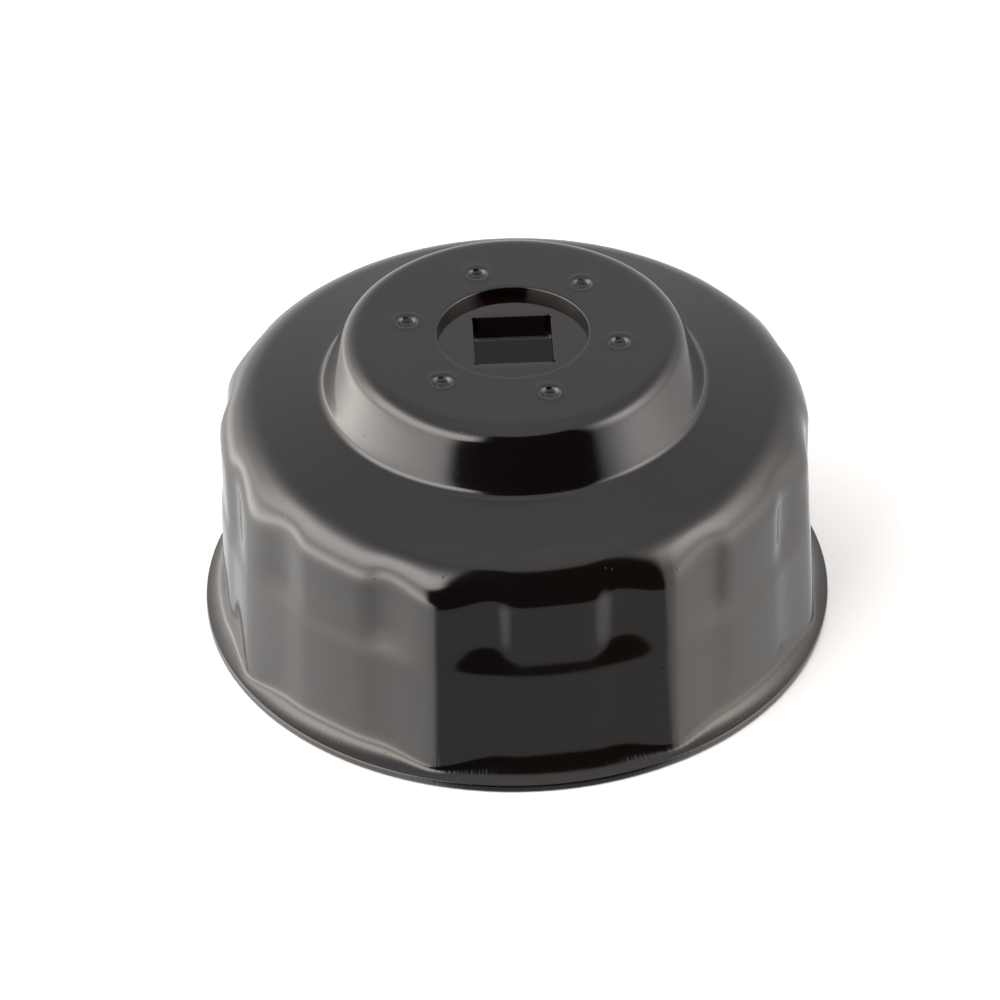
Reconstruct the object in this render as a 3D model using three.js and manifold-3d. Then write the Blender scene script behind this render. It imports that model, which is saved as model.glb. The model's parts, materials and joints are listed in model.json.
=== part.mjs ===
// Cap-type oil filter wrench: a deep-drawn steel cup whose fluted skirt grips the end of a spin-on
// oil filter, with a thick plate welded under its top that takes the square drive of a ratchet.
// Millimetres, +Z up. The origin is the centre of the rim, on the surface that the cup stands on,
// and X and Y run along the sides of the drive square.
import * as THREE from "three";
import { mergeVertices } from "three/addons/utils/BufferGeometryUtils.js";
import Module from "manifold-3d";

const { degToRad, lerp, smoothstep, clamp } = THREE.MathUtils;

// The cup.
const SHEET = 1.3; // sheet thickness
const HEIGHT = 40.6; // rim to the top of the boss
const RIM_RADIUS = 40;

// The boss on top of the cup, and the round window in it that shows the drive plate.
const BOSS_FACE_RADIUS = 19.05; // where the flat top ends
const BOSS_EDGE_FILLET = 2.5;
const BOSS_DRAFT = degToRad(24);
const BOSS_FOOT_RADIUS = 23.9; // middle of the foot's fillet
const BOSS_FOOT_HEIGHT = 33.4;
const BOSS_FOOT_FILLET = 1.3;
const BOSS_FOOT_TILT = degToRad(47.5); // the face's slope at the middle of the foot's fillet
const WINDOW_RADIUS = 9.4;

// The shelf round the boss falls gently to the shoulder, which turns down into the skirt.
const SHELF_SLOPE = degToRad(9.5);
const SHOULDER_START_RADIUS = 31.9;
const SHOULDER_RADIUS = 36.9;

// The foot of the skirt turns out into a lip, on which the cup stands.
const FLARE_TOP_RADIUS = 37.2;
const FLARE_FILLET = 4.2;
const FLARE_FADE = 0.1; // how fast the flare draws back above its top, per unit of height squared
const LIP_SLOPE = degToRad(25); // of the outer face where the flare ends
const LIP_TOP = 1.1; // height of the lip's outer edge, which stands on STANDING_HEIGHT
const STANDING_HEIGHT = 0;

// Eight flats with corners between them. Each flat has a rib up its middle and a groove at each
// side of the rib. The skirt narrows in a step, so that the grooves are shallow below the step,
// where the filter's flats go, and deep above it.
const FLATS = 8;
const HALF_FLAT = Math.PI / FLATS;
const FLAT_PHASE = degToRad(-85); // direction of the first flat's middle
const CORNER_TOP_RADIUS = 37.5; // level with the shoulder's foot
const CORNER_BOTTOM_RADIUS = 38.75; // level with the flare's top
const RIB_RADIUS = 36.9;
const LOWER_TOP_RADIUS = 37.22; // middle of a flat, just below the step
const LOWER_BOTTOM_RADIUS = 37.5; // and level with the flare's top
const GROOVE_ANGLE = degToRad(12.3); // from a flat's middle to the deepest line of a groove
const GROOVE_INNER = degToRad(6.4); // from that line to the rib's top
const GROOVE_OUTER = degToRad(9.6); // from that line to where the groove ends beside the corner
const GROOVE_DEPTH = 0.72;
const LOWER_GROOVE_DEPTH = 0.26;
const GROOVE_END = [16.4, 20.9]; // heights between which a groove fades out
const RIB_STEP = [15.4, 18.8];
const FLUTE_TOP = [25.2, 31.4]; // heights between which the flutes run out into the shoulder
const BLEND = 0.7; // rounding where the flutes run into the flare
const SKIRT_ROWS = [20.9, 18.8, 17.1, 15.4, 7.6]; // heights at which the skirt's face bends

// The drive plate, welded under the boss at a ring of dimples.
const PLATE_RADIUS = 17.4;
const PLATE_THICKNESS = 3.6;
const PLATE_CHAMFER = 0.5;
const DRIVE_SIDE = 9.7; // takes a 3/8 inch square
const CORNER_RELIEF = 0.6; // radius of the relief at each corner of the square
const WELDS = 6;
const WELD_RING_RADIUS = 13.35;
const WELD_PHASE = degToRad(47.2);
const DIMPLE_TOP_RADIUS = 1.35;
const DIMPLE_FLOOR_RADIUS = 0.75;
const DIMPLE_DEPTH = 0.55;
const NUGGET_RADIUS = 1.5;
const NUGGET_DEPTH = 1;
const NUGGET_CLEARANCE = 0.3;

// Mesh fineness.
const SHELL_SEGMENTS = 12 * FLATS;
const PLATE_SEGMENTS = 64;
const WELD_SEGMENTS = 16;

const UNDERSIDE = HEIGHT - SHEET; // of the boss, against which the plate is welded
const OVERCUT = 1; // how far a cutting tool runs past the face it cuts

const wasm = await Module();
wasm.setup();

// Turns a closed three.js geometry into a manifold-3d solid.
function solidOf(geometry) {
  const bare = geometry.clone();
  bare.deleteAttribute("normal");
  bare.deleteAttribute("uv");
  const merged = mergeVertices(bare, 1e-4);
  const mesh = new wasm.Mesh({
    numProp: 3,
    vertProperties: merged.attributes.position.array,
    triVerts: new Uint32Array(merged.index.array),
  });
  return new wasm.Manifold(mesh);
}

// Turns a manifold-3d solid back into a three.js geometry.
function geometryOf(solid) {
  const mesh = solid.getMesh();
  const geometry = new THREE.BufferGeometry();
  geometry.setAttribute("position", new THREE.BufferAttribute(mesh.vertProperties, 3));
  geometry.setIndex(new THREE.BufferAttribute(mesh.triVerts, 1));
  geometry.computeVertexNormals();
  return geometry;
}

// A solid of revolution about Z, from [radius, height] pairs that run anticlockwise.
function lathe(section, segments, start = 0) {
  const points = section.map(([r, z]) => new THREE.Vector2(r, z));
  return new THREE.LatheGeometry(points, segments, start).rotateX(Math.PI / 2);
}

// A round solid standing on height z: a cylinder, or a cone's frustum.
function round(topRadius, bottomRadius, z, height) {
  const geometry = new THREE.CylinderGeometry(topRadius, bottomRadius, height, WELD_SEGMENTS);
  return geometry.rotateX(Math.PI / 2).translate(0, 0, z + height / 2);
}

// Maximum of two lengths, rounded over a width of BLEND.
function softMax(a, b) {
  const h = clamp(0.5 + (0.5 * (a - b)) / BLEND, 0, 1);
  return lerp(b, a, h) + BLEND * h * (1 - h);
}

// Centres of the fillets in the outer face, as [radius, height].
const BOSS_EDGE_CENTRE = [BOSS_FACE_RADIUS, HEIGHT - BOSS_EDGE_FILLET];
const FOOT_CENTRE = [
  BOSS_FOOT_RADIUS + BOSS_FOOT_FILLET * Math.cos(BOSS_FOOT_TILT),
  BOSS_FOOT_HEIGHT + BOSS_FOOT_FILLET * Math.sin(BOSS_FOOT_TILT),
];
const SHELF_START_RADIUS = FOOT_CENTRE[0] - BOSS_FOOT_FILLET * Math.sin(SHELF_SLOPE);
const SHELF_START_HEIGHT = FOOT_CENTRE[1] - BOSS_FOOT_FILLET * Math.cos(SHELF_SLOPE);
const SHELF_DROP = (SHOULDER_START_RADIUS - SHELF_START_RADIUS) * Math.tan(SHELF_SLOPE);
const SHOULDER_FILLET = (SHOULDER_RADIUS - SHOULDER_START_RADIUS) / (1 - Math.sin(SHELF_SLOPE));
const SHOULDER_CENTRE = [
  SHOULDER_RADIUS - SHOULDER_FILLET,
  SHELF_START_HEIGHT - SHELF_DROP - SHOULDER_FILLET * Math.cos(SHELF_SLOPE),
];
// The flare's inner face just reaches the surface that the cup stands on.
const FLARE_CENTRE = [
  FLARE_TOP_RADIUS + FLARE_FILLET,
  (FLARE_FILLET + SHEET) * Math.cos(LIP_SLOPE),
];

// Share of a groove's depth, at an angle from the flat's middle.
function grooveShape(angle) {
  const off = angle - GROOVE_ANGLE;
  const share = off < 0 ? -off / GROOVE_INNER : off / GROOVE_OUTER;
  return Math.cos((clamp(share, 0, 1) * Math.PI) / 2) ** 2;
}

// Outer radius of the fluted skirt before it runs into the shoulder and the flare.
function fluteRadius(theta, z) {
  const flat = (theta - FLAT_PHASE) / (2 * HALF_FLAT);
  const angle = Math.abs(flat - Math.round(flat)) * 2 * HALF_FLAT;
  const up = (z - FLARE_CENTRE[1]) / (SHOULDER_CENTRE[1] - FLARE_CENTRE[1]);
  const corner = lerp(CORNER_BOTTOM_RADIUS, CORNER_TOP_RADIUS, up);
  const lower = lerp(LOWER_BOTTOM_RADIUS, LOWER_TOP_RADIUS, 2 * up);
  const middle = lerp(lower, RIB_RADIUS, smoothstep(z, ...RIB_STEP));
  const flank = middle * (corner / middle) ** ((angle / HALF_FLAT) ** 2);
  const depth = lerp(LOWER_GROOVE_DEPTH, GROOVE_DEPTH, smoothstep(z, ...GROOVE_END));
  return flank - depth * grooveShape(angle);
}

// Outer radius of the flare at a height. Above its top it draws back behind the skirt.
function flareRadius(z) {
  const drop = clamp(FLARE_CENTRE[1] - z, 0, FLARE_FILLET);
  const rise = Math.max(z - FLARE_CENTRE[1], 0);
  return FLARE_CENTRE[0] - Math.sqrt(FLARE_FILLET ** 2 - drop ** 2) - FLARE_FADE * rise ** 2;
}

// Points of a circle's arc, both ends included, as [radius, height] pairs.
function arc([r, z], fillet, from, to, steps) {
  return Array.from({ length: steps + 1 }, (_, i) => {
    const t = lerp(from, to, i / steps);
    return [r + fillet * Math.cos(t), z + fillet * Math.sin(t)];
  });
}

// The section of the cup before fluting, from the window to the lip, at a depth below the outer
// face. Every depth gives the same number of points.
function sheetLine(depth) {
  const footEnd = 1.5 * Math.PI - SHELF_SLOPE;
  const shoulderStart = Math.PI / 2 - SHELF_SLOPE;
  const flareEnd = 1.5 * Math.PI - LIP_SLOPE;
  return [
    [WINDOW_RADIUS, HEIGHT - depth],
    ...arc(BOSS_EDGE_CENTRE, BOSS_EDGE_FILLET - depth, Math.PI / 2, BOSS_DRAFT, 3),
    ...arc(FOOT_CENTRE, BOSS_FOOT_FILLET + depth, Math.PI + BOSS_DRAFT, footEnd, 2),
    ...arc(SHOULDER_CENTRE, SHOULDER_FILLET - depth, shoulderStart, 0, 6),
    ...SKIRT_ROWS.map((z) => [SHOULDER_RADIUS - depth, z]),
    ...arc(FLARE_CENTRE, FLARE_FILLET + depth, Math.PI, flareEnd, 4),
    [RIM_RADIUS, depth > 0 ? STANDING_HEIGHT : LIP_TOP],
  ];
}

// Outer radius of the fluted cup, in direction theta, where the plain section has [r, z].
function flutedRadius(theta, [r, z]) {
  if (z <= LIP_TOP) return r;
  const press = (fluteRadius(theta, z) - SHOULDER_RADIUS) * (1 - smoothstep(z, ...FLUTE_TOP));
  return softMax(Math.min(r, SHOULDER_RADIUS) + press, flareRadius(z));
}

// The cup: the plain section turned about Z, then pressed into flutes. The inner face is pressed as
// far as the outer face is.
function cup() {
  const outer = sheetLine(0);
  const inner = sheetLine(SHEET);
  const section = [...inner, ...outer.toReversed(), inner[0]];
  const guides = [...outer, ...outer.toReversed(), outer[0]];
  const geometry = lathe(section, SHELL_SEGMENTS, FLAT_PHASE + Math.PI / 2);
  const position = geometry.getAttribute("position");
  for (let i = 0; i < position.count; i++) {
    const x = position.getX(i);
    const y = position.getY(i);
    const guide = guides[i % section.length];
    const press = flutedRadius(Math.atan2(y, x), guide) - guide[0];
    const scale = 1 + press / Math.hypot(x, y);
    position.setXY(i, x * scale, y * scale);
  }
  return solidOf(geometry);
}

// Where each weld is, as a position in the plane of the joint between the shell and the plate.
const WELD_PLACES = Array.from({ length: WELDS }, (_, i) => {
  const theta = WELD_PHASE + (2 * Math.PI * i) / WELDS;
  return new THREE.Vector3(WELD_RING_RADIUS * Math.cos(theta), WELD_RING_RADIUS * Math.sin(theta), 0);
});

// Cuts a copy of one tool out of a solid at every weld.
function cutAtWelds(solid, tool) {
  return WELD_PLACES.reduce((left, place) => {
    const copy = tool.clone().translate(...place);
    return left.subtract(solidOf(copy));
  }, solid);
}

// The cup with its dimples. Their cone is carried on above the boss, so that it opens its top face.
function capShell() {
  const flank = (DIMPLE_TOP_RADIUS - DIMPLE_FLOOR_RADIUS) / DIMPLE_DEPTH;
  const top = DIMPLE_TOP_RADIUS + flank * OVERCUT;
  const dimple = round(top, DIMPLE_FLOOR_RADIUS, HEIGHT - DIMPLE_DEPTH, DIMPLE_DEPTH + OVERCUT);
  return cutAtWelds(cup(), dimple);
}

// The drive plate, with its top face on z = 0.
function drivePlate() {
  const rim = PLATE_RADIUS - PLATE_CHAMFER;
  const disc = lathe(
    [
      [0, -PLATE_THICKNESS],
      [rim, -PLATE_THICKNESS],
      [PLATE_RADIUS, PLATE_CHAMFER - PLATE_THICKNESS],
      [PLATE_RADIUS, -PLATE_CHAMFER],
      [rim, 0],
      [0, 0],
    ],
    PLATE_SEGMENTS,
  );
  const depth = PLATE_THICKNESS + 2 * OVERCUT;
  const square = new THREE.BoxGeometry(DRIVE_SIDE, DRIVE_SIDE, depth);
  let plate = solidOf(disc).subtract(solidOf(square.translate(0, 0, -PLATE_THICKNESS / 2)));
  const inset = (DRIVE_SIDE - CORNER_RELIEF) / 2;
  for (let i = 0; i < 4; i++) {
    const relief = round(CORNER_RELIEF, CORNER_RELIEF, -PLATE_THICKNESS - OVERCUT, depth);
    plate = plate.subtract(solidOf(relief.translate(inset, inset, 0).rotateZ((i * Math.PI) / 2)));
  }
  const pocketRadius = NUGGET_RADIUS + NUGGET_CLEARANCE;
  return cutAtWelds(plate, round(pocketRadius, pocketRadius, -NUGGET_DEPTH, NUGGET_DEPTH + OVERCUT));
}

const group = new THREE.Group();

function addMesh(parent, name, geometry, look) {
  const mesh = new THREE.Mesh(geometry, new THREE.MeshStandardMaterial(look));
  mesh.name = name;
  parent.add(mesh);
  return mesh;
}

const GLOSSY_COAT = { color: 0x1b1a1b, roughness: 0.22, metalness: 0.05 };
const THICK_COAT = { color: 0x171516, roughness: 0.18, metalness: 0.05 };
const BARE_STEEL = { color: 0x6a6866, roughness: 0.5, metalness: 0.9 };

addMesh(group, "cap_shell", geometryOf(capShell()), GLOSSY_COAT);

// What is welded under the boss hangs from the joint's plane.
const joint = new THREE.Group();
joint.position.z = UNDERSIDE;
group.add(joint);
addMesh(joint, "drive_plate", geometryOf(drivePlate()), THICK_COAT);
WELD_PLACES.forEach((place, i) => {
  const slug = round(NUGGET_RADIUS, NUGGET_RADIUS, -NUGGET_DEPTH, NUGGET_DEPTH);
  addMesh(joint, `weld_nugget_${i + 1}`, slug, BARE_STEEL).position.copy(place);
});

export default group;
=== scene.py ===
"""Looks of a cap-type oil filter wrench: a fluted pressed-steel cup, black and glossy, with a drive
plate welded under its top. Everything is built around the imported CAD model, in metres, +Z up."""
import json
import math

import bpy
import numpy as np
from mathutils import Matrix, Vector

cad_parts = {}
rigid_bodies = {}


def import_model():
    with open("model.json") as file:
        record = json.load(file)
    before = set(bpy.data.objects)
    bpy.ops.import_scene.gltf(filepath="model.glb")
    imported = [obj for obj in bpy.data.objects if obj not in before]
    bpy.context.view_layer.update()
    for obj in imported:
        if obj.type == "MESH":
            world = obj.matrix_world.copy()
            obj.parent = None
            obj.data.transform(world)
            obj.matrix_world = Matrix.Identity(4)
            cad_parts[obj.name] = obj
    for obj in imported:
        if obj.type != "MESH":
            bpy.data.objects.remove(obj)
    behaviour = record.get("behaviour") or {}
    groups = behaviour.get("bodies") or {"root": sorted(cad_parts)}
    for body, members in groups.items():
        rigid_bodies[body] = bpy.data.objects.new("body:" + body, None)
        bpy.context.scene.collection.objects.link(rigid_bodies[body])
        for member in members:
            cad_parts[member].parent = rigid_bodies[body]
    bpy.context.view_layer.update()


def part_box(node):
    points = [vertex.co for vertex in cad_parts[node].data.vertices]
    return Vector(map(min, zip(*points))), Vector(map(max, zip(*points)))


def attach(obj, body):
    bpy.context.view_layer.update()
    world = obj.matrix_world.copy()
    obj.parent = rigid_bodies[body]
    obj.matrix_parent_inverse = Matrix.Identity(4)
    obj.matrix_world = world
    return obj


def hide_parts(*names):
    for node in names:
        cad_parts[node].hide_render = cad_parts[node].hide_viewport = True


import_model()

MM = 0.001
TURN = 2 * math.pi

# Sizes that the CAD model gives.
shell_low, shell_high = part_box("cap_shell")
plate_low, plate_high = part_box("drive_plate")
RIM_RADIUS = (shell_high.x - shell_low.x) / 2
FLOOR_HEIGHT = shell_low.z
HEIGHT = shell_high.z
PLATE_TOP = plate_high.z
PLATE_BOTTOM = plate_low.z
PLATE_RADIUS = (plate_high.x - plate_low.x) / 2
SHEET = HEIGHT - PLATE_TOP

# The cup's section, as in the CAD model.
SINK = 0.05 * MM  # how far the boss's face lies below the dimples' raised rims
FACE_HEIGHT = HEIGHT - SINK
BOSS_FACE_RADIUS = 19.05 * MM  # where the flat top ends
BOSS_EDGE_FILLET = 2.5 * MM
BOSS_DRAFT = math.radians(24)
BOSS_FOOT = (23.9 * MM, 33.4 * MM)  # radius and height of the middle of the foot's fillet
BOSS_FOOT_FILLET = 1.3 * MM
SHELF_SLOPE = math.radians(9.5)
SHOULDER_START_RADIUS = 31.9 * MM  # where the shelf rolls over into the shoulder
SHOULDER_RADIUS = 36.9 * MM
WINDOW_RADIUS = 9.4 * MM
FLARE_TOP_RADIUS = 37.2 * MM
FLARE_FILLET = 4.2 * MM
FLARE_FADE = 0.1 / MM  # how fast the flare draws back above its top, per unit of height squared
LIP_SLOPE = math.radians(25)
FLARE_TOP = (FLARE_FILLET + SHEET) * math.cos(LIP_SLOPE)
LIP_TOP = 1.1 * MM  # height of the lip's outer edge

# The flutes: eight flats, each with a rib up its middle and a groove at each side of the rib.
FLATS = 8
HALF_FLAT = math.pi / FLATS
FLAT_PHASE = math.radians(-85)  # direction of the first flat's middle
CORNER_TOP_RADIUS = 37.5 * MM  # level with the shoulder's foot
CORNER_BOTTOM_RADIUS = 38.75 * MM  # level with the flare's top
RIB_RADIUS = 36.9 * MM
LOWER_TOP_RADIUS = 37.22 * MM  # middle of a flat, just below the step
LOWER_BOTTOM_RADIUS = 37.5 * MM
GROOVE_ANGLE = math.radians(12.3)  # from a flat's middle to the deepest line of a groove
GROOVE_INNER = math.radians(6.4)  # from that line to the rib's flat top
GROOVE_OUTER = math.radians(9.6)  # from that line to where the groove ends beside the corner
GROOVE_DEPTH = 0.72 * MM
LOWER_GROOVE_DEPTH = 0.26 * MM
GROOVE_END = (16.4 * MM, 20.9 * MM)  # heights between which a groove turns from shallow to deep
RIB_STEP = (15.4 * MM, 18.8 * MM)  # heights between which the lower tier steps in to the rib
FLUTE_TOP = (25.2 * MM, 31.4 * MM)  # heights between which the flutes run out into the shoulder
CREASE_DEPTH = 0.07 * MM  # of the fine line that the press left on the first flat's corner
CREASE_WIDTH = 0.018  # as a share of a flat's width
BLEND = 0.7 * MM  # rounding where the flutes run into the flare
# How far the rounding of each corner reaches to its sides, in degrees, going round from the corner
# at the first flat's right. No two corners were pressed quite alike.
CORNER_ROUND = [0.7, 1.6, 0.8, 0.7, 0.9, 0.7, 1.2, 2.4]

# The cut edges, the dimples over the welds and the hole in the plate.
EDGE_ROUND = 0.22 * MM
WELDS = 6
WELD_RING_RADIUS = 13.35 * MM
WELD_PHASE = math.radians(47.2)
DIMPLE_TOP_RADIUS = 1.35 * MM
DIMPLE_FLOOR_RADIUS = 0.75 * MM
DIMPLE_DEPTH = 0.5 * MM
DIMPLE_RIM_RADIUS = 1.2 * DIMPLE_TOP_RADIUS  # crest of the raised rim round a dimple
DIMPLE_RIM_WIDTH = 0.2 * DIMPLE_TOP_RADIUS
DIMPLE_REACH = 1.3 * DIMPLE_TOP_RADIUS  # where the mesh is fine enough for the dimples
PIP_RADIUS = 0.35 * DIMPLE_TOP_RADIUS  # of the small mound in each dimple's floor
PIP_HEIGHT = 0.14 * MM
PLATE_CHAMFER = 0.5 * MM
DRIVE_SIDE = 9.7 * MM
DRIVE_ROLLOVER = 0.12 * MM  # rounding of the drive square's edges
CORNER_RELIEF = 0.35 * MM  # radius of the relief at each corner of the square
NUGGET_CLEARANCE = 0.3 * MM

# Mesh fineness.
SHELL_COLUMNS = 54 * FLATS
PLATE_COLUMNS = 288
NUGGET_COLUMNS = 40


def lerp(a, b, t):
    """Value at share t of the way from a to b."""
    return a + (b - a) * t


def smoothstep(x, low, high):
    """0 below low and 1 above high, with a smooth S between."""
    t = np.clip((x - low) / (high - low), 0, 1)
    return t * t * (3 - 2 * t)


def soft_max(a, b, width):
    """Maximum of two lengths, rounded over a width."""
    h = np.clip(0.5 + 0.5 * (a - b) / width, 0, 1)
    return lerp(b, a, h) + width * h * (1 - h)


def run(start, end, steps):
    """Points from start to end, start left out."""
    return [
        (lerp(start[0], end[0], i / steps), lerp(start[1], end[1], i / steps))
        for i in range(1, steps + 1)
    ]


def arc(centre, radius, start, end, steps):
    """Points of a circle's arc in a section, both ends included."""
    angles = np.linspace(start, end, steps + 1)
    return [(centre[0] + radius * math.cos(a), centre[1] + radius * math.sin(a)) for a in angles]


# ---------------------------------------------------------------- the cup

FOOT_MIDDLE = math.radians(47.5)  # normal's elevation at the middle of the foot's fillet
FOOT_CENTRE = (
    BOSS_FOOT[0] + BOSS_FOOT_FILLET * math.cos(FOOT_MIDDLE),
    BOSS_FOOT[1] + BOSS_FOOT_FILLET * math.sin(FOOT_MIDDLE),
)
SHELF_START = (
    FOOT_CENTRE[0] - BOSS_FOOT_FILLET * math.sin(SHELF_SLOPE),
    FOOT_CENTRE[1] - BOSS_FOOT_FILLET * math.cos(SHELF_SLOPE),
)
SHOULDER_START_HEIGHT = SHELF_START[1] - math.tan(SHELF_SLOPE) * (
    SHOULDER_START_RADIUS - SHELF_START[0]
)
SHOULDER_FILLET = (SHOULDER_RADIUS - SHOULDER_START_RADIUS) / (1 - math.sin(SHELF_SLOPE))
SHOULDER_CENTRE = (
    SHOULDER_RADIUS - SHOULDER_FILLET,
    SHOULDER_START_HEIGHT - SHOULDER_FILLET * math.cos(SHELF_SLOPE),
)
FLARE_CENTRE = (FLARE_TOP_RADIUS + FLARE_FILLET, FLARE_TOP)
LIP_START = (
    FLARE_CENTRE[0] - FLARE_FILLET * math.sin(LIP_SLOPE),
    FLARE_CENTRE[1] - FLARE_FILLET * math.cos(LIP_SLOPE),
)


def boss_line():
    """Section of the outer face from the window to the shelf."""
    line = [(WINDOW_RADIUS + EDGE_ROUND, FACE_HEIGHT)]
    line += run(line[-1], (WELD_RING_RADIUS - DIMPLE_REACH, FACE_HEIGHT), steps=4)
    line += run(line[-1], (WELD_RING_RADIUS + DIMPLE_REACH, FACE_HEIGHT), steps=22)
    line += run(line[-1], (BOSS_FACE_RADIUS, FACE_HEIGHT), steps=4)
    edge = (BOSS_FACE_RADIUS, FACE_HEIGHT - BOSS_EDGE_FILLET)
    line += arc(edge, BOSS_EDGE_FILLET, math.pi / 2, BOSS_DRAFT, steps=9)[1:]
    foot_end = 1.5 * math.pi - SHELF_SLOPE
    turn = arc(FOOT_CENTRE, BOSS_FOOT_FILLET, math.pi + BOSS_DRAFT, foot_end, steps=7)
    return line + run(line[-1], turn[0], steps=5) + turn[1:]


def outer_line():
    """Section of the outer face before fluting, from the window to the lip."""
    line = boss_line()
    turn = arc(SHOULDER_CENTRE, SHOULDER_FILLET, math.pi / 2 - SHELF_SLOPE, 0, steps=26)
    line += run(line[-1], turn[0], steps=6) + turn[1:]
    line += run(line[-1], (SHOULDER_RADIUS, FLARE_TOP), steps=56)
    line += [(flare_radius(z), z) for z in np.linspace(FLARE_TOP, LIP_START[1], 18)[1:]]
    line += run(line[-1], (RIM_RADIUS - EDGE_ROUND, LIP_TOP), steps=2)
    return np.array(line)


def sunk(line, depth):
    """A section line moved inwards along its normals. It stays above the floor."""
    along = np.gradient(line, axis=0)
    along /= np.linalg.norm(along, axis=1)[:, None]
    inner = line + depth * np.stack([along[:, 1], -along[:, 0]], -1)
    inner[:, 1] = np.maximum(inner[:, 1], FLOOR_HEIGHT)
    return inner


def flare_radius(z):
    """Outer radius of the flare and the lip at a height. Above its top it draws back."""
    drop = np.clip(FLARE_CENTRE[1] - z, 0, FLARE_CENTRE[1] - LIP_START[1])
    curve = FLARE_CENTRE[0] - np.sqrt(FLARE_FILLET**2 - drop**2)
    lip = np.clip(LIP_START[1] - z, 0, None) / math.tan(LIP_SLOPE)
    return curve + lip - FLARE_FADE * np.clip(z - FLARE_CENTRE[1], 0, None) ** 2


def groove_shape(angle):
    """1 on the deepest line of a groove, falling to 0 at its two sides."""
    off = angle - GROOVE_ANGLE
    share = np.where(off < 0, -off / GROOVE_INNER, off / GROOVE_OUTER)
    return np.cos(np.clip(share, 0, 1) * math.pi / 2) ** 2


def flute_radius(theta, z):
    """Outer radius of the fluted skirt before it runs into the shoulder and the flare."""
    flat = (theta - FLAT_PHASE) / (2 * HALF_FLAT)
    angle = np.abs(flat - np.round(flat)) * 2 * HALF_FLAT
    softness = np.radians(np.array(CORNER_ROUND))[np.floor(flat).astype(int) % FLATS]
    past = np.clip(angle - (HALF_FLAT - softness), 0, None)
    eased = angle - past**2 / (2 * softness)
    up = (z - FLARE_TOP) / (SHOULDER_CENTRE[1] - FLARE_TOP)
    corner = lerp(CORNER_BOTTOM_RADIUS, CORNER_TOP_RADIUS, up)
    lower = lerp(LOWER_BOTTOM_RADIUS, LOWER_TOP_RADIUS, 2 * up)
    middle = lerp(lower, RIB_RADIUS, smoothstep(z, *RIB_STEP))
    base = middle * (corner / middle) ** ((eased / HALF_FLAT) ** 2)
    depth = lerp(LOWER_GROOVE_DEPTH, GROOVE_DEPTH, smoothstep(z, *GROOVE_END))
    crease = np.exp(-(((flat - 0.5) / CREASE_WIDTH) ** 2))
    return base - depth * groove_shape(angle) - CREASE_DEPTH * crease


def fluted(theta, r, z):
    """Outer radius of the fluted cup, in direction theta, where the plain section has r and z."""
    press = (flute_radius(theta, z) - SHOULDER_RADIUS) * (1 - smoothstep(z, *FLUTE_TOP))
    return soft_max(min(r, SHOULDER_RADIUS) + press, flare_radius(z), BLEND)


def on_boss_face(z):
    """Whether a height in the section belongs to the boss's flat top."""
    return z > FACE_HEIGHT - SINK


def weld_centres():
    """Positions of the welds on the boss, as a list of x and a list of y."""
    angles = WELD_PHASE + TURN * np.arange(WELDS) / WELDS
    return WELD_RING_RADIUS * np.cos(angles), WELD_RING_RADIUS * np.sin(angles)


def dimples(x, y):
    """Height of the boss's face over its flat, with a sunken dimple and a raised rim at each weld."""
    height = np.zeros_like(x)
    for cx, cy in zip(*weld_centres()):
        away = np.hypot(x - cx, y - cy)
        dent = 1 - smoothstep(away, DIMPLE_FLOOR_RADIUS, DIMPLE_TOP_RADIUS)
        rim = np.exp(-(((away - DIMPLE_RIM_RADIUS) / DIMPLE_RIM_WIDTH) ** 2))
        pip = np.exp(-((away / PIP_RADIUS) ** 2))
        height += SINK * rim - DIMPLE_DEPTH * dent + PIP_HEIGHT * pip
    return height


def ring_mesh(name, rows, theta, capped=False):
    """A closed mesh round the Z axis. Rows is a list of (radius, height) pairs, of numbers or of
    arrays over theta. The last row joins the first, or if capped, a flat face closes each end."""
    count = len(theta)
    r = np.array([np.broadcast_to(row[0], (count,)) for row in rows])
    z = np.array([np.broadcast_to(row[1], (count,)) for row in rows])
    points = np.stack([r * np.cos(theta), r * np.sin(theta), z], -1).reshape(-1, 3)
    bands = len(rows) - 1 if capped else len(rows)
    i, j = np.meshgrid(np.arange(bands), np.arange(count), indexing="ij")
    below = (i + 1) % len(rows)
    beside = (j + 1) % count
    faces = np.stack(
        [i * count + j, below * count + j, below * count + beside, i * count + beside], -1
    ).reshape(-1, 4).tolist()
    if capped:
        last = bands * count
        faces += [list(range(count)), list(range(last + count - 1, last - 1, -1))]
    mesh = bpy.data.meshes.new(name)
    mesh.from_pydata(points.tolist(), [], faces)
    mesh.shade_smooth()
    return mesh


def add_piece(name, mesh, node, material):
    """Puts a mesh in the scene as the piece that stands for a CAD node."""
    piece = bpy.data.objects.new(name, mesh)
    bpy.context.scene.collection.objects.link(piece)
    piece.data.materials.append(material)
    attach(piece, "root")
    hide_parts(node)
    return piece


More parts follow.
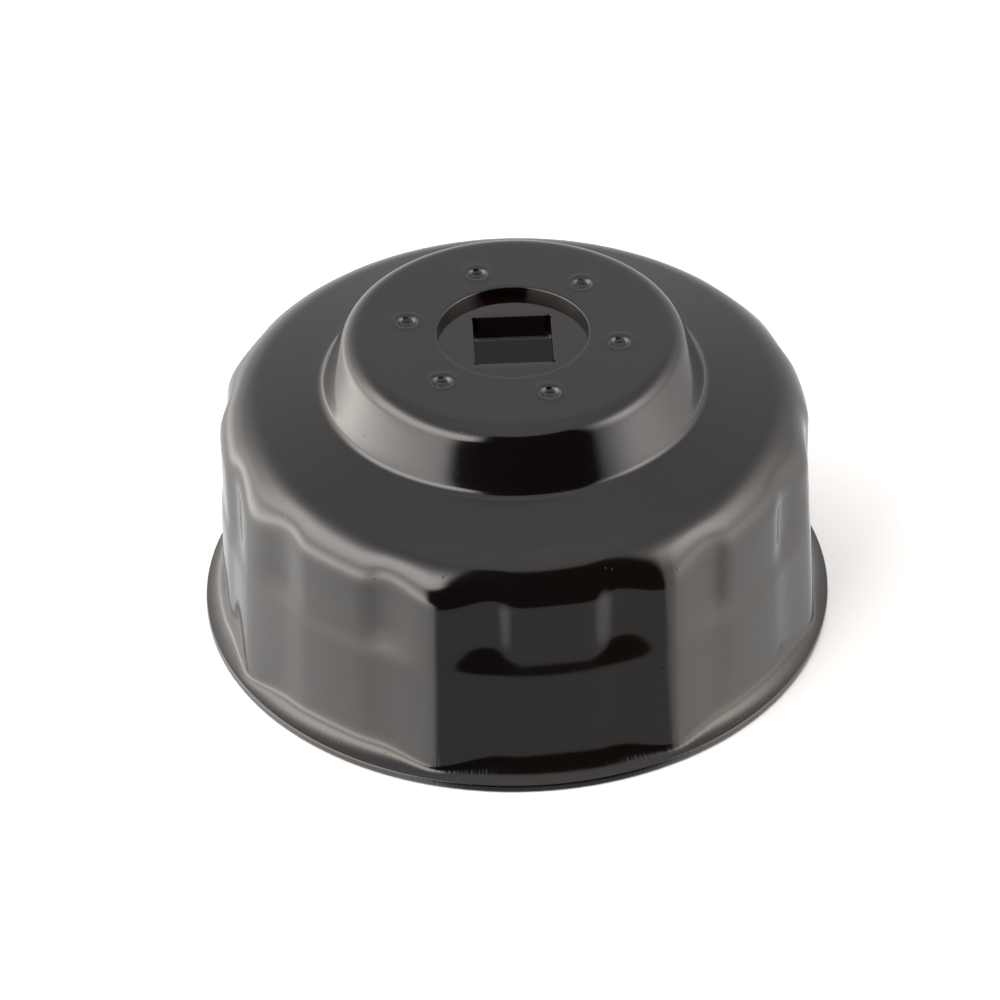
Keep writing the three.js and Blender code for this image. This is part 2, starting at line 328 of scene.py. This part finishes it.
def cup_mesh():
    """The pressed cup: the outer face, the rim, the inner face and the window's wall, in a ring."""
    theta = FLAT_PHASE + TURN * np.arange(SHELL_COLUMNS) / SHELL_COLUMNS
    outer = outer_line()
    rows = []
    for r, z in outer:
        radius = fluted(theta, r, z)
        height = np.full_like(theta, z)
        if on_boss_face(z):
            height += dimples(radius * np.cos(theta), radius * np.sin(theta))
        rows.append((radius, height))
    rim = RIM_RADIUS - EDGE_ROUND
    rows += arc((rim, LIP_TOP - EDGE_ROUND), EDGE_ROUND, math.pi / 2, 0, steps=3)[1:]
    rows += arc((rim, FLOOR_HEIGHT + EDGE_ROUND), EDGE_ROUND, 0, -math.pi / 2, steps=3)
    # The inner face runs back from the lip, with a third of the outer face's rows.
    inner = sunk(outer, SHEET)
    for (guide_r, guide_z), (r, z) in list(zip(outer, inner))[::-3]:
        press = fluted(theta, guide_r, guide_z) - guide_r
        rows.append((r + press, PLATE_TOP if on_boss_face(guide_z) else z))
    rows.append((WINDOW_RADIUS, PLATE_TOP))
    edge = (WINDOW_RADIUS + EDGE_ROUND, FACE_HEIGHT - EDGE_ROUND)
    rows += arc(edge, EDGE_ROUND, math.pi, math.pi / 2, steps=4)[:-1]
    return ring_mesh("cap_shell_pressed", rows, theta)


# ---------------------------------------------------------------- the drive plate and its welds


def square_radius(theta, grow=0.0):
    """Distance from the axis to the wall of the drive square, with its four corner reliefs."""
    half = DRIVE_SIDE / 2 + grow
    side = half / np.maximum(np.abs(np.cos(theta)), np.abs(np.sin(theta)))
    centre = math.sqrt(2) * (DRIVE_SIDE - CORNER_RELIEF) / 2
    off = (theta % (TURN / 4)) - TURN / 8
    radius = CORNER_RELIEF + grow
    inside = radius**2 - (centre * np.sin(off)) ** 2
    relief = centre * np.cos(off) + np.sqrt(np.clip(inside, 0, None))
    return np.where(inside > 0, np.maximum(side, relief), side)


def plate_mesh():
    """The drive plate without its pockets: hole edge, top, rim, underside and hole wall, in a ring."""
    theta = TURN * np.arange(PLATE_COLUMNS) / PLATE_COLUMNS
    edge = square_radius(theta, DRIVE_ROLLOVER)
    rim = PLATE_RADIUS - PLATE_CHAMFER
    wall_top = PLATE_TOP - DRIVE_ROLLOVER
    wall_foot = PLATE_BOTTOM + DRIVE_ROLLOVER
    rows = []
    for a in np.linspace(0, math.pi / 2, 6):
        grow = DRIVE_ROLLOVER * (1 - math.cos(a))
        rows.append((square_radius(theta, grow), wall_top + DRIVE_ROLLOVER * math.sin(a)))
    rows += [(lerp(edge, rim, t), PLATE_TOP) for t in np.linspace(0, 1, 12)[1:]]
    rows.append((PLATE_RADIUS, PLATE_TOP - PLATE_CHAMFER))
    rows.append((PLATE_RADIUS, PLATE_BOTTOM + PLATE_CHAMFER))
    rows += [(lerp(edge, rim, t), PLATE_BOTTOM) for t in np.linspace(1, 0, 8)]
    for a in np.linspace(math.pi / 2, 0, 4)[1:]:
        grow = DRIVE_ROLLOVER * (1 - math.cos(a))
        rows.append((square_radius(theta, grow), wall_foot - DRIVE_ROLLOVER * math.sin(a)))
    inner = square_radius(theta)
    rows += [(inner, lerp(wall_foot, wall_top, t)) for t in np.linspace(0, 1, 8)[1:-1]]
    return ring_mesh("drive_plate_blank", rows, theta)


def nugget_mesh(name, node, centre):
    """A slug of fused steel with a slightly uneven waist."""
    low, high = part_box(node)
    radius = (high.x - low.x) / 2
    angle = TURN * np.arange(NUGGET_COLUMNS) / NUGGET_COLUMNS
    # Three shallow lobes round each nugget, turned differently on each.
    wave = 1 - 0.03 * (1 + np.sin(3 * angle + centre[0] / MM))
    shape = [(0.5, 1), (0.9, 1), (0.98, 0.93), (1, 0.8), (0.94, 0.5)]
    shape += [(1, 0.2), (0.98, 0.07), (0.9, 0), (0.5, 0)]
    rows = [(radius * r * wave, lerp(low.z, high.z, t)) for r, t in shape]
    mesh = ring_mesh(name, rows, angle, capped=True)
    mesh.transform(Matrix.Translation((centre[0], centre[1], 0)))
    return mesh


def pocket_mesh(node, centre):
    """The room for one weld nugget, carried on above the plate."""
    low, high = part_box(node)
    radius = (high.x - low.x) / 2 + NUGGET_CLEARANCE
    angle = TURN * np.arange(NUGGET_COLUMNS) / NUGGET_COLUMNS
    mesh = ring_mesh("pocket", [(radius, high.z + MM), (radius, low.z)], angle, capped=True)
    mesh.transform(Matrix.Translation((centre[0], centre[1], 0)))
    return mesh


def with_pockets(plate, pockets):
    """The plate's mesh with the pockets cut out of its top."""
    objects = bpy.context.scene.collection.objects
    body = bpy.data.objects.new("plate_body", plate)
    objects.link(body)
    tools = [bpy.data.objects.new("pocket_tool", pocket) for pocket in pockets]
    for tool in tools:
        objects.link(tool)
        pocket_cut = body.modifiers.new("pocket", "BOOLEAN")
        pocket_cut.operation = "DIFFERENCE"
        pocket_cut.solver = "EXACT"
        pocket_cut.object = tool
    graph = bpy.context.evaluated_depsgraph_get()
    mesh = bpy.data.meshes.new_from_object(body.evaluated_get(graph))
    for item in [body, *tools]:
        bpy.data.objects.remove(item)
    return mesh


# ---------------------------------------------------------------- materials

# Linear colours: the coat's own, and the warmer one that it drifts to in places.
SHELL_BLACK = (0.0009, 0.0008, 0.0008)
SHELL_WARM = (0.0016, 0.001, 0.0009)
PLATE_BLACK = (0.0009, 0.0006, 0.0006)
PLATE_WARM = (0.0035, 0.0012, 0.0008)
COOL_SHINE = (0.96, 0.96, 1.0)  # tints of the coat's reflections
WARM_SHINE = (1.0, 0.96, 0.92)
STEEL_GREY = (0.33, 0.31, 0.29)
STEEL_BLUED = (0.2, 0.2, 0.23)

# The draw streaks: many round the cup and few up it, so that each is long.
STREAKS_ROUND = 26.0
STREAKS_UP = 40.0
STREAK_NONE = 5.5 * MM  # height above which the flare has no streaks
STREAK_FULL = 3 * MM  # height below which they are at full strength


class Nodes:
    """Short calls for building a node tree."""

    def __init__(self, tree):
        self.tree = tree
        tree.nodes.clear()

    def add(self, kind, **settings):
        node = self.tree.nodes.new(kind)
        for name, value in settings.items():
            setattr(node, name, value)
        return node

    def feed(self, node, values):
        """Sets a node's inputs, each from a number or from another node's output."""
        for name, value in values.items():
            if isinstance(value, bpy.types.NodeSocket):
                self.tree.links.new(value, node.inputs[name])
            else:
                node.inputs[name].default_value = value
        return node

    def math(self, operation, a, b=0.0, c=0.0):
        node = self.add("ShaderNodeMath", operation=operation)
        return self.feed(node, {0: a, 1: b, 2: c}).outputs[0]

    def span(self, value, low, high, to_low=0.0, to_high=1.0):
        """Maps a value from one range to another, smoothly and clamped."""
        node = self.add("ShaderNodeMapRange", interpolation_type="SMOOTHSTEP")
        wiring = {"Value": value, "From Min": low, "From Max": high, "To Min": to_low, "To Max": to_high}
        return self.feed(node, wiring).outputs[0]

    def noise(self, vector, scale, detail=2.0, rough=0.5):
        node = self.add("ShaderNodeTexNoise")
        wiring = {"Vector": vector, "Scale": scale, "Detail": detail, "Roughness": rough}
        return self.feed(node, wiring).outputs[0]

    def blend(self, factor, a, b):
        """A mix of two colours, which are inputs 6 and 7 of the node."""
        node = self.add("ShaderNodeMix", data_type="RGBA")
        self.tree.links.new(factor, node.inputs["Factor"])
        for socket, value in ((node.inputs[6], a), (node.inputs[7], b)):
            if isinstance(value, bpy.types.NodeSocket):
                self.tree.links.new(value, socket)
            else:
                socket.default_value = (*value, 1)
        return node.outputs[2]

    def ramp(self, value, stops):
        """A colour ramp with linear steps between (position, colour) stops."""
        node = self.add("ShaderNodeValToRGB")
        elements = node.color_ramp.elements
        while len(elements) > 1:
            elements.remove(elements[-1])
        for k, (position, colour) in enumerate(stops):
            element = elements[0] if k == 0 else elements.new(position)
            element.position = position
            element.color = (*colour, 1)
        return self.feed(node, {0: value}).outputs[0]

    def vector(self, x, y, z):
        return self.feed(self.add("ShaderNodeCombineXYZ"), {0: x, 1: y, 2: z}).outputs[0]

    def total(self, a, b):
        """Two colours added up."""
        node = self.add("ShaderNodeVectorMath", operation="ADD")
        return self.feed(node, {0: a, 1: b}).outputs[0]

    def scaled(self, colour, level):
        """A colour times a level."""
        node = self.add("ShaderNodeVectorMath", operation="SCALE")
        return self.feed(node, {0: colour, "Scale": level}).outputs[0]

    def bump(self, height, distance, strength, normal=None):
        wiring = {"Height": height, "Distance": distance, "Strength": strength}
        if normal is not None:
            wiring["Normal"] = normal
        return self.feed(self.add("ShaderNodeBump"), wiring).outputs[0]


def new_material(name):
    """An empty material, its node builder and the place on the piece, in metres."""
    material = bpy.data.materials.new(name)
    material.use_nodes = True
    nodes = Nodes(material.node_tree)
    place = nodes.add("ShaderNodeTexCoord").outputs["Object"]
    return material, nodes, place


def finish_material(nodes, wiring):
    """Ends a material with one shader, wired as given."""
    shader = nodes.feed(nodes.add("ShaderNodeBsdfPrincipled"), wiring)
    nodes.feed(nodes.add("ShaderNodeOutputMaterial"), {"Surface": shader.outputs[0]})


def draw_streaks(nodes, place):
    """Fine upright streaks on the flare, where the sheet was drawn over the die's edge."""
    split = nodes.feed(nodes.add("ShaderNodeSeparateXYZ"), {0: place})
    height = split.outputs[2]
    angle = nodes.math("ARCTAN2", split.outputs[1], split.outputs[0])
    across = nodes.math("MULTIPLY", angle, STREAKS_ROUND)
    along = nodes.math("MULTIPLY", height, STREAKS_UP)
    streaks = nodes.noise(nodes.vector(across, along, 0.0), scale=3.0, detail=3, rough=0.7)
    return nodes.math("MULTIPLY", streaks, nodes.span(height, STREAK_NONE, STREAK_FULL))


def coat_material(name, colour, warm, roughness, peel):
    """A glossy near-black coat, with orange peel, patches of duller gloss, specks and streaks.
    Each noise's scale is in waves per metre."""
    material, nodes, place = new_material(name)
    drift = nodes.noise(place, scale=22, detail=2)
    patches = nodes.noise(place, scale=60, detail=3)
    orange_peel = nodes.noise(place, scale=420, detail=1)
    grain = nodes.noise(place, scale=900, detail=2)
    specks = nodes.span(nodes.noise(place, scale=1100, detail=1), 0.74, 0.8)
    streaks = draw_streaks(nodes, place)
    gloss = nodes.span(patches, 0.3, 0.75, to_low=roughness * 0.8, to_high=roughness * 1.3)
    peel_bump = nodes.bump(orange_peel, distance=0.02 * MM, strength=peel)
    grain_bump = nodes.bump(grain, distance=0.004 * MM, strength=peel, normal=peel_bump)
    speck_bump = nodes.bump(specks, distance=0.02 * MM, strength=0.7, normal=grain_bump)
    streak_bump = nodes.bump(streaks, distance=0.04 * MM, strength=0.7, normal=speck_bump)
    wiring = {
        "Base Color": nodes.blend(nodes.span(drift, 0.35, 0.65), colour, warm),
        "Roughness": nodes.math("MULTIPLY_ADD", streaks, 0.08, gloss),
        "Normal": streak_bump,
        "IOR": 1.5,
        "Specular Tint": nodes.blend(nodes.span(drift, 0.38, 0.62), COOL_SHINE, WARM_SHINE),
    }
    finish_material(nodes, wiring)
    return material


def steel_material(name):
    """Steel that was molten and froze: bright, rough and slightly blued."""
    material, nodes, place = new_material(name)
    cells = nodes.noise(place, scale=1500, detail=3)
    heat = nodes.noise(place, scale=300, detail=2)
    wiring = {
        "Base Color": nodes.blend(nodes.span(heat, 0.3, 0.7), STEEL_GREY, STEEL_BLUED),
        "Metallic": 1.0,
        "Roughness": nodes.span(cells, 0.3, 0.7, to_low=0.35, to_high=0.6),
        "Normal": nodes.bump(cells, distance=0.05 * MM, strength=0.8),
    }
    finish_material(nodes, wiring)
    return material


# ---------------------------------------------------------------- studio


# Brightness of the two soft boxes, as shares of their peak, at azimuths in degrees round the horizon.
LEFT_ROUND = [
    (-180, 1), (-150, 1), (-130, 0.97), (-122, 0.88), (-118, 0.7), (-115, 0.35), (-112, 0.04),
    (-110, 0), (94, 0), (108, 0.02), (118, 0.06), (128, 0.12), (138, 0.22), (148, 0.37),
    (157, 0.58), (166, 0.8), (176, 0.96), (180, 1),
]
RIGHT_ROUND = [
    (-180, 0), (-46, 0), (-43, 0.04), (-40, 0.14), (-37, 0.3), (-34, 0.47), (-30, 0.7),
    (-24, 0.95), (-18, 1.08), (-12, 1.05), (-2, 0.88), (8, 0.62), (18, 0.4), (28, 0.24),
    (38, 0.12), (48, 0.05), (58, 0), (180, 0),
]
# The same at elevations in degrees, from straight down to straight up.
LEFT_UP = [
    (-90, 0.2), (-40, 0.18), (-30, 0.28), (-20, 0.45), (-10, 1.0), (-3, 0.88), (5, 0.58),
    (9, 0.56), (15, 0.78), (22, 1.0), (34, 1.1), (40, 0.8), (46, 0.4), (51, 0.17),
    (57, 0.05), (62, 0), (90, 0),
]
RIGHT_UP = [
    (-90, 0.16), (-40, 0.14), (-30, 0.23), (-20, 0.32), (-10, 0.5), (0, 0.6), (8, 0.5),
    (15, 0.66), (25, 1.0), (36, 1.1), (41, 0.85), (46, 0.42), (51, 0.2), (57, 0.06), (62, 0),
    (90, 0),
]
LEFT_COLOUR = (7.0, 6.55, 6.0)
RIGHT_COLOUR = (5.6, 5.15, 4.85)
DARK_COLOUR = (0.075, 0.05, 0.045)  # of the room behind the camera
FLOOR_COLOUR = (0.63, 0.63, 0.63)  # of the floor in front of the cup, as the coat mirrors it
BACKGROUND = 1.05  # white behind the cup, as the camera sees it


# The left box's front edge bulges back just above the horizon: by how much, as shares of a turn.
OVER_SHIFT = 15 / 360
UNDER_SHIFT = 9 / 360


def way_angles(nodes):
    """The azimuth and elevation in radians of the direction that light comes from."""
    way = nodes.add("ShaderNodeTexCoord").outputs["Generated"]
    unit = nodes.feed(nodes.add("ShaderNodeVectorMath", operation="NORMALIZE"), {0: way}).outputs[0]
    split = nodes.feed(nodes.add("ShaderNodeSeparateXYZ"), {0: unit})
    azimuth = nodes.math("ARCTAN2", split.outputs[1], split.outputs[0])
    elevation = nodes.math("ARCSINE", split.outputs[2])
    return azimuth, elevation


def grey(stops, whole):
    """Stops of (degrees, grey level) for a ramp over that many degrees, with zero in its middle."""
    return [(degrees / whole + 0.5, (level, level, level)) for degrees, level in stops]


def soft_box(nodes, around, up, round_stops, up_stops, colour):
    """Light of one soft box, from its brightness round the horizon and its brightness up."""
    level = nodes.math(
        "MULTIPLY", nodes.ramp(around, grey(round_stops, 360)), nodes.ramp(up, grey(up_stops, 180))
    )
    return nodes.scaled(colour, level)


def room_light(nodes, around_left, around, up):
    """A pale room, dark behind the camera between the two boxes, with the floor below."""
    past_left = nodes.ramp(around_left, grey([(-116, 0), (-110, 1)], 360))
    past_right = nodes.ramp(around, grey([(-46, 1), (-40, 0)], 360))
    in_front = nodes.math("MULTIPLY", past_left, past_right)
    shade = nodes.ramp(up, grey([(-30, 0), (-27, 1), (56, 1), (60, 0)], 180))
    near_floor = nodes.ramp(up, grey([(-30, 1), (-27, 0)], 180))
    # The room's tone, from straight down at 0 to straight up at 1.
    tones = [
        (0.0, (0.9, 0.9, 0.9)),
        (0.78, (0.97, 0.97, 0.98)),
        (0.85, (1.0, 1.0, 1.0)),
        (0.9, (1.0, 0.98, 1.0)),
    ]
    # The ceiling is up to 30 % brighter.
    overhead = nodes.math("MULTIPLY_ADD", nodes.ramp(up, grey([(50, 0), (72, 1)], 180)), 0.3, 1.0)
    room = nodes.scaled(nodes.ramp(up, tones), overhead)
    room = nodes.blend(nodes.math("MULTIPLY", in_front, shade), room, DARK_COLOUR)
    return nodes.blend(nodes.math("MULTIPLY", in_front, near_floor), room, FLOOR_COLOUR)


def studio_light():
    """Two broad soft boxes at the sides of the room. The camera sees plain white behind the cup."""
    world = bpy.data.worlds.new("studio")
    bpy.context.scene.world = world
    world.use_nodes = True
    nodes = Nodes(world.node_tree)
    azimuth, elevation = way_angles(nodes)
    around = nodes.math("MULTIPLY_ADD", azimuth, 1 / TURN, 0.5)
    up = nodes.math("MULTIPLY_ADD", elevation, 1 / math.pi, 0.5)
    over = nodes.span(elevation, math.radians(8), math.radians(24), OVER_SHIFT, 0.0)
    under = nodes.span(elevation, math.radians(-22), math.radians(-6), UNDER_SHIFT, 0.0)
    around_left = nodes.math("ADD", around, nodes.math("SUBTRACT", over, under))
    left = soft_box(nodes, around_left, up, LEFT_ROUND, LEFT_UP, LEFT_COLOUR)
    right = soft_box(nodes, around, up, RIGHT_ROUND, RIGHT_UP, RIGHT_COLOUR)
    room = room_light(nodes, around_left, around, up)
    light = nodes.total(room, nodes.total(left, right))
    lit = nodes.feed(nodes.add("ShaderNodeBackground"), {"Color": light, "Strength": 1.0})
    plain = nodes.feed(
        nodes.add("ShaderNodeBackground"), {"Color": (1, 1, 1, 1), "Strength": BACKGROUND}
    )
    seen = nodes.add("ShaderNodeLightPath").outputs["Is Camera Ray"]
    both = nodes.feed(
        nodes.add("ShaderNodeMixShader"), {0: seen, 1: lit.outputs[0], 2: plain.outputs[0]}
    )
    nodes.feed(nodes.add("ShaderNodeOutputWorld"), {"Surface": both.outputs[0]})


FLOOR_HALF_SIDE = 60 * RIM_RADIUS
FLOOR_GAP = 0.05 * MM  # between the floor and the rim, so that their faces don't coincide
FLOOR_WHITE = (0.82, 0.82, 0.82, 1)


def pale_floor():
    """A plain white table. It isn't mirrored in the coat, where the room's light stands for it."""
    side = FLOOR_HALF_SIDE
    mesh = bpy.data.meshes.new("floor")
    z = FLOOR_HEIGHT - FLOOR_GAP
    corners = [(-side, -side, z), (side, -side, z), (side, side, z), (-side, side, z)]
    mesh.from_pydata(corners, [], [(0, 1, 2, 3)])
    floor = bpy.data.objects.new("floor", mesh)
    bpy.context.scene.collection.objects.link(floor)
    material = bpy.data.materials.new("pale_table")
    material.use_nodes = True
    shader = material.node_tree.nodes["Principled BSDF"]
    shader.inputs["Base Color"].default_value = FLOOR_WHITE
    shader.inputs["Roughness"].default_value = 0.9
    shader.inputs["Specular IOR Level"].default_value = 0
    mesh.materials.append(material)
    floor.visible_glossy = False


# The camera that was fitted to the photograph's rim, window and dimples.
LENS = 162.6  # in millimetres, on a sensor 36 mm wide
VIEW_AZIMUTH = math.radians(88.25)
VIEW_ELEVATION = math.radians(-37.94)
VIEW_ROLL = math.radians(-1.075)
VIEW_DISTANCE = 14.355 * RIM_RADIUS
VIEW_AIM = Vector((-0.0495 * RIM_RADIUS, 0.0015 * RIM_RADIUS, 0.349 * HEIGHT))


def camera():
    """Looks down on the cup from in front, a little to its left."""
    data = bpy.data.cameras.new("camera")
    data.sensor_width = 36
    data.lens = LENS
    data.clip_start = 0.01
    data.clip_end = 20
    item = bpy.data.objects.new("camera", data)
    bpy.context.scene.collection.objects.link(item)
    along = math.cos(VIEW_ELEVATION)
    forward = Vector(
        (
            along * math.cos(VIEW_AZIMUTH),
            along * math.sin(VIEW_AZIMUTH),
            math.sin(VIEW_ELEVATION),
        )
    )
    level = Vector((math.sin(VIEW_AZIMUTH), -math.cos(VIEW_AZIMUTH), 0))
    over = level.cross(forward)
    right = math.cos(VIEW_ROLL) * level + math.sin(VIEW_ROLL) * over
    up = right.cross(forward)
    turn = Matrix((right, up, -forward)).transposed().to_4x4()
    item.matrix_world = Matrix.Translation(VIEW_AIM - VIEW_DISTANCE * forward) @ turn
    bpy.context.scene.camera = item


# ---------------------------------------------------------------- the scene

CUP_SHARP = math.radians(50)  # edges that turn by more than this are left sharp
PLATE_SHARP = math.radians(40)

bpy.context.scene.view_settings.view_transform = "Standard"
camera()
studio_light()
pale_floor()

shell_coat = coat_material("shell_coat", SHELL_BLACK, SHELL_WARM, roughness=0.1, peel=0.25)
plate_coat = coat_material("plate_coat", PLATE_BLACK, PLATE_WARM, roughness=0.08, peel=0.6)
weld_steel = steel_material("weld_steel")

cup = add_piece("pressed_cup", cup_mesh(), "cap_shell", shell_coat)
cup.data.set_sharp_from_angle(angle=CUP_SHARP)

weld_nodes = [f"weld_nugget_{k}" for k in range(1, WELDS + 1)]
welds = list(zip(weld_nodes, zip(*weld_centres())))
pockets = [pocket_mesh(node, centre) for node, centre in welds]
drilled = with_pockets(plate_mesh(), pockets)
plate = add_piece("drive_plate_blank", drilled, "drive_plate", plate_coat)
plate.data.set_sharp_from_angle(angle=PLATE_SHARP)

for node, centre in welds:
    name = node.replace("weld", "fused")
    add_piece(name, nugget_mesh(name, node, centre), node, weld_steel)
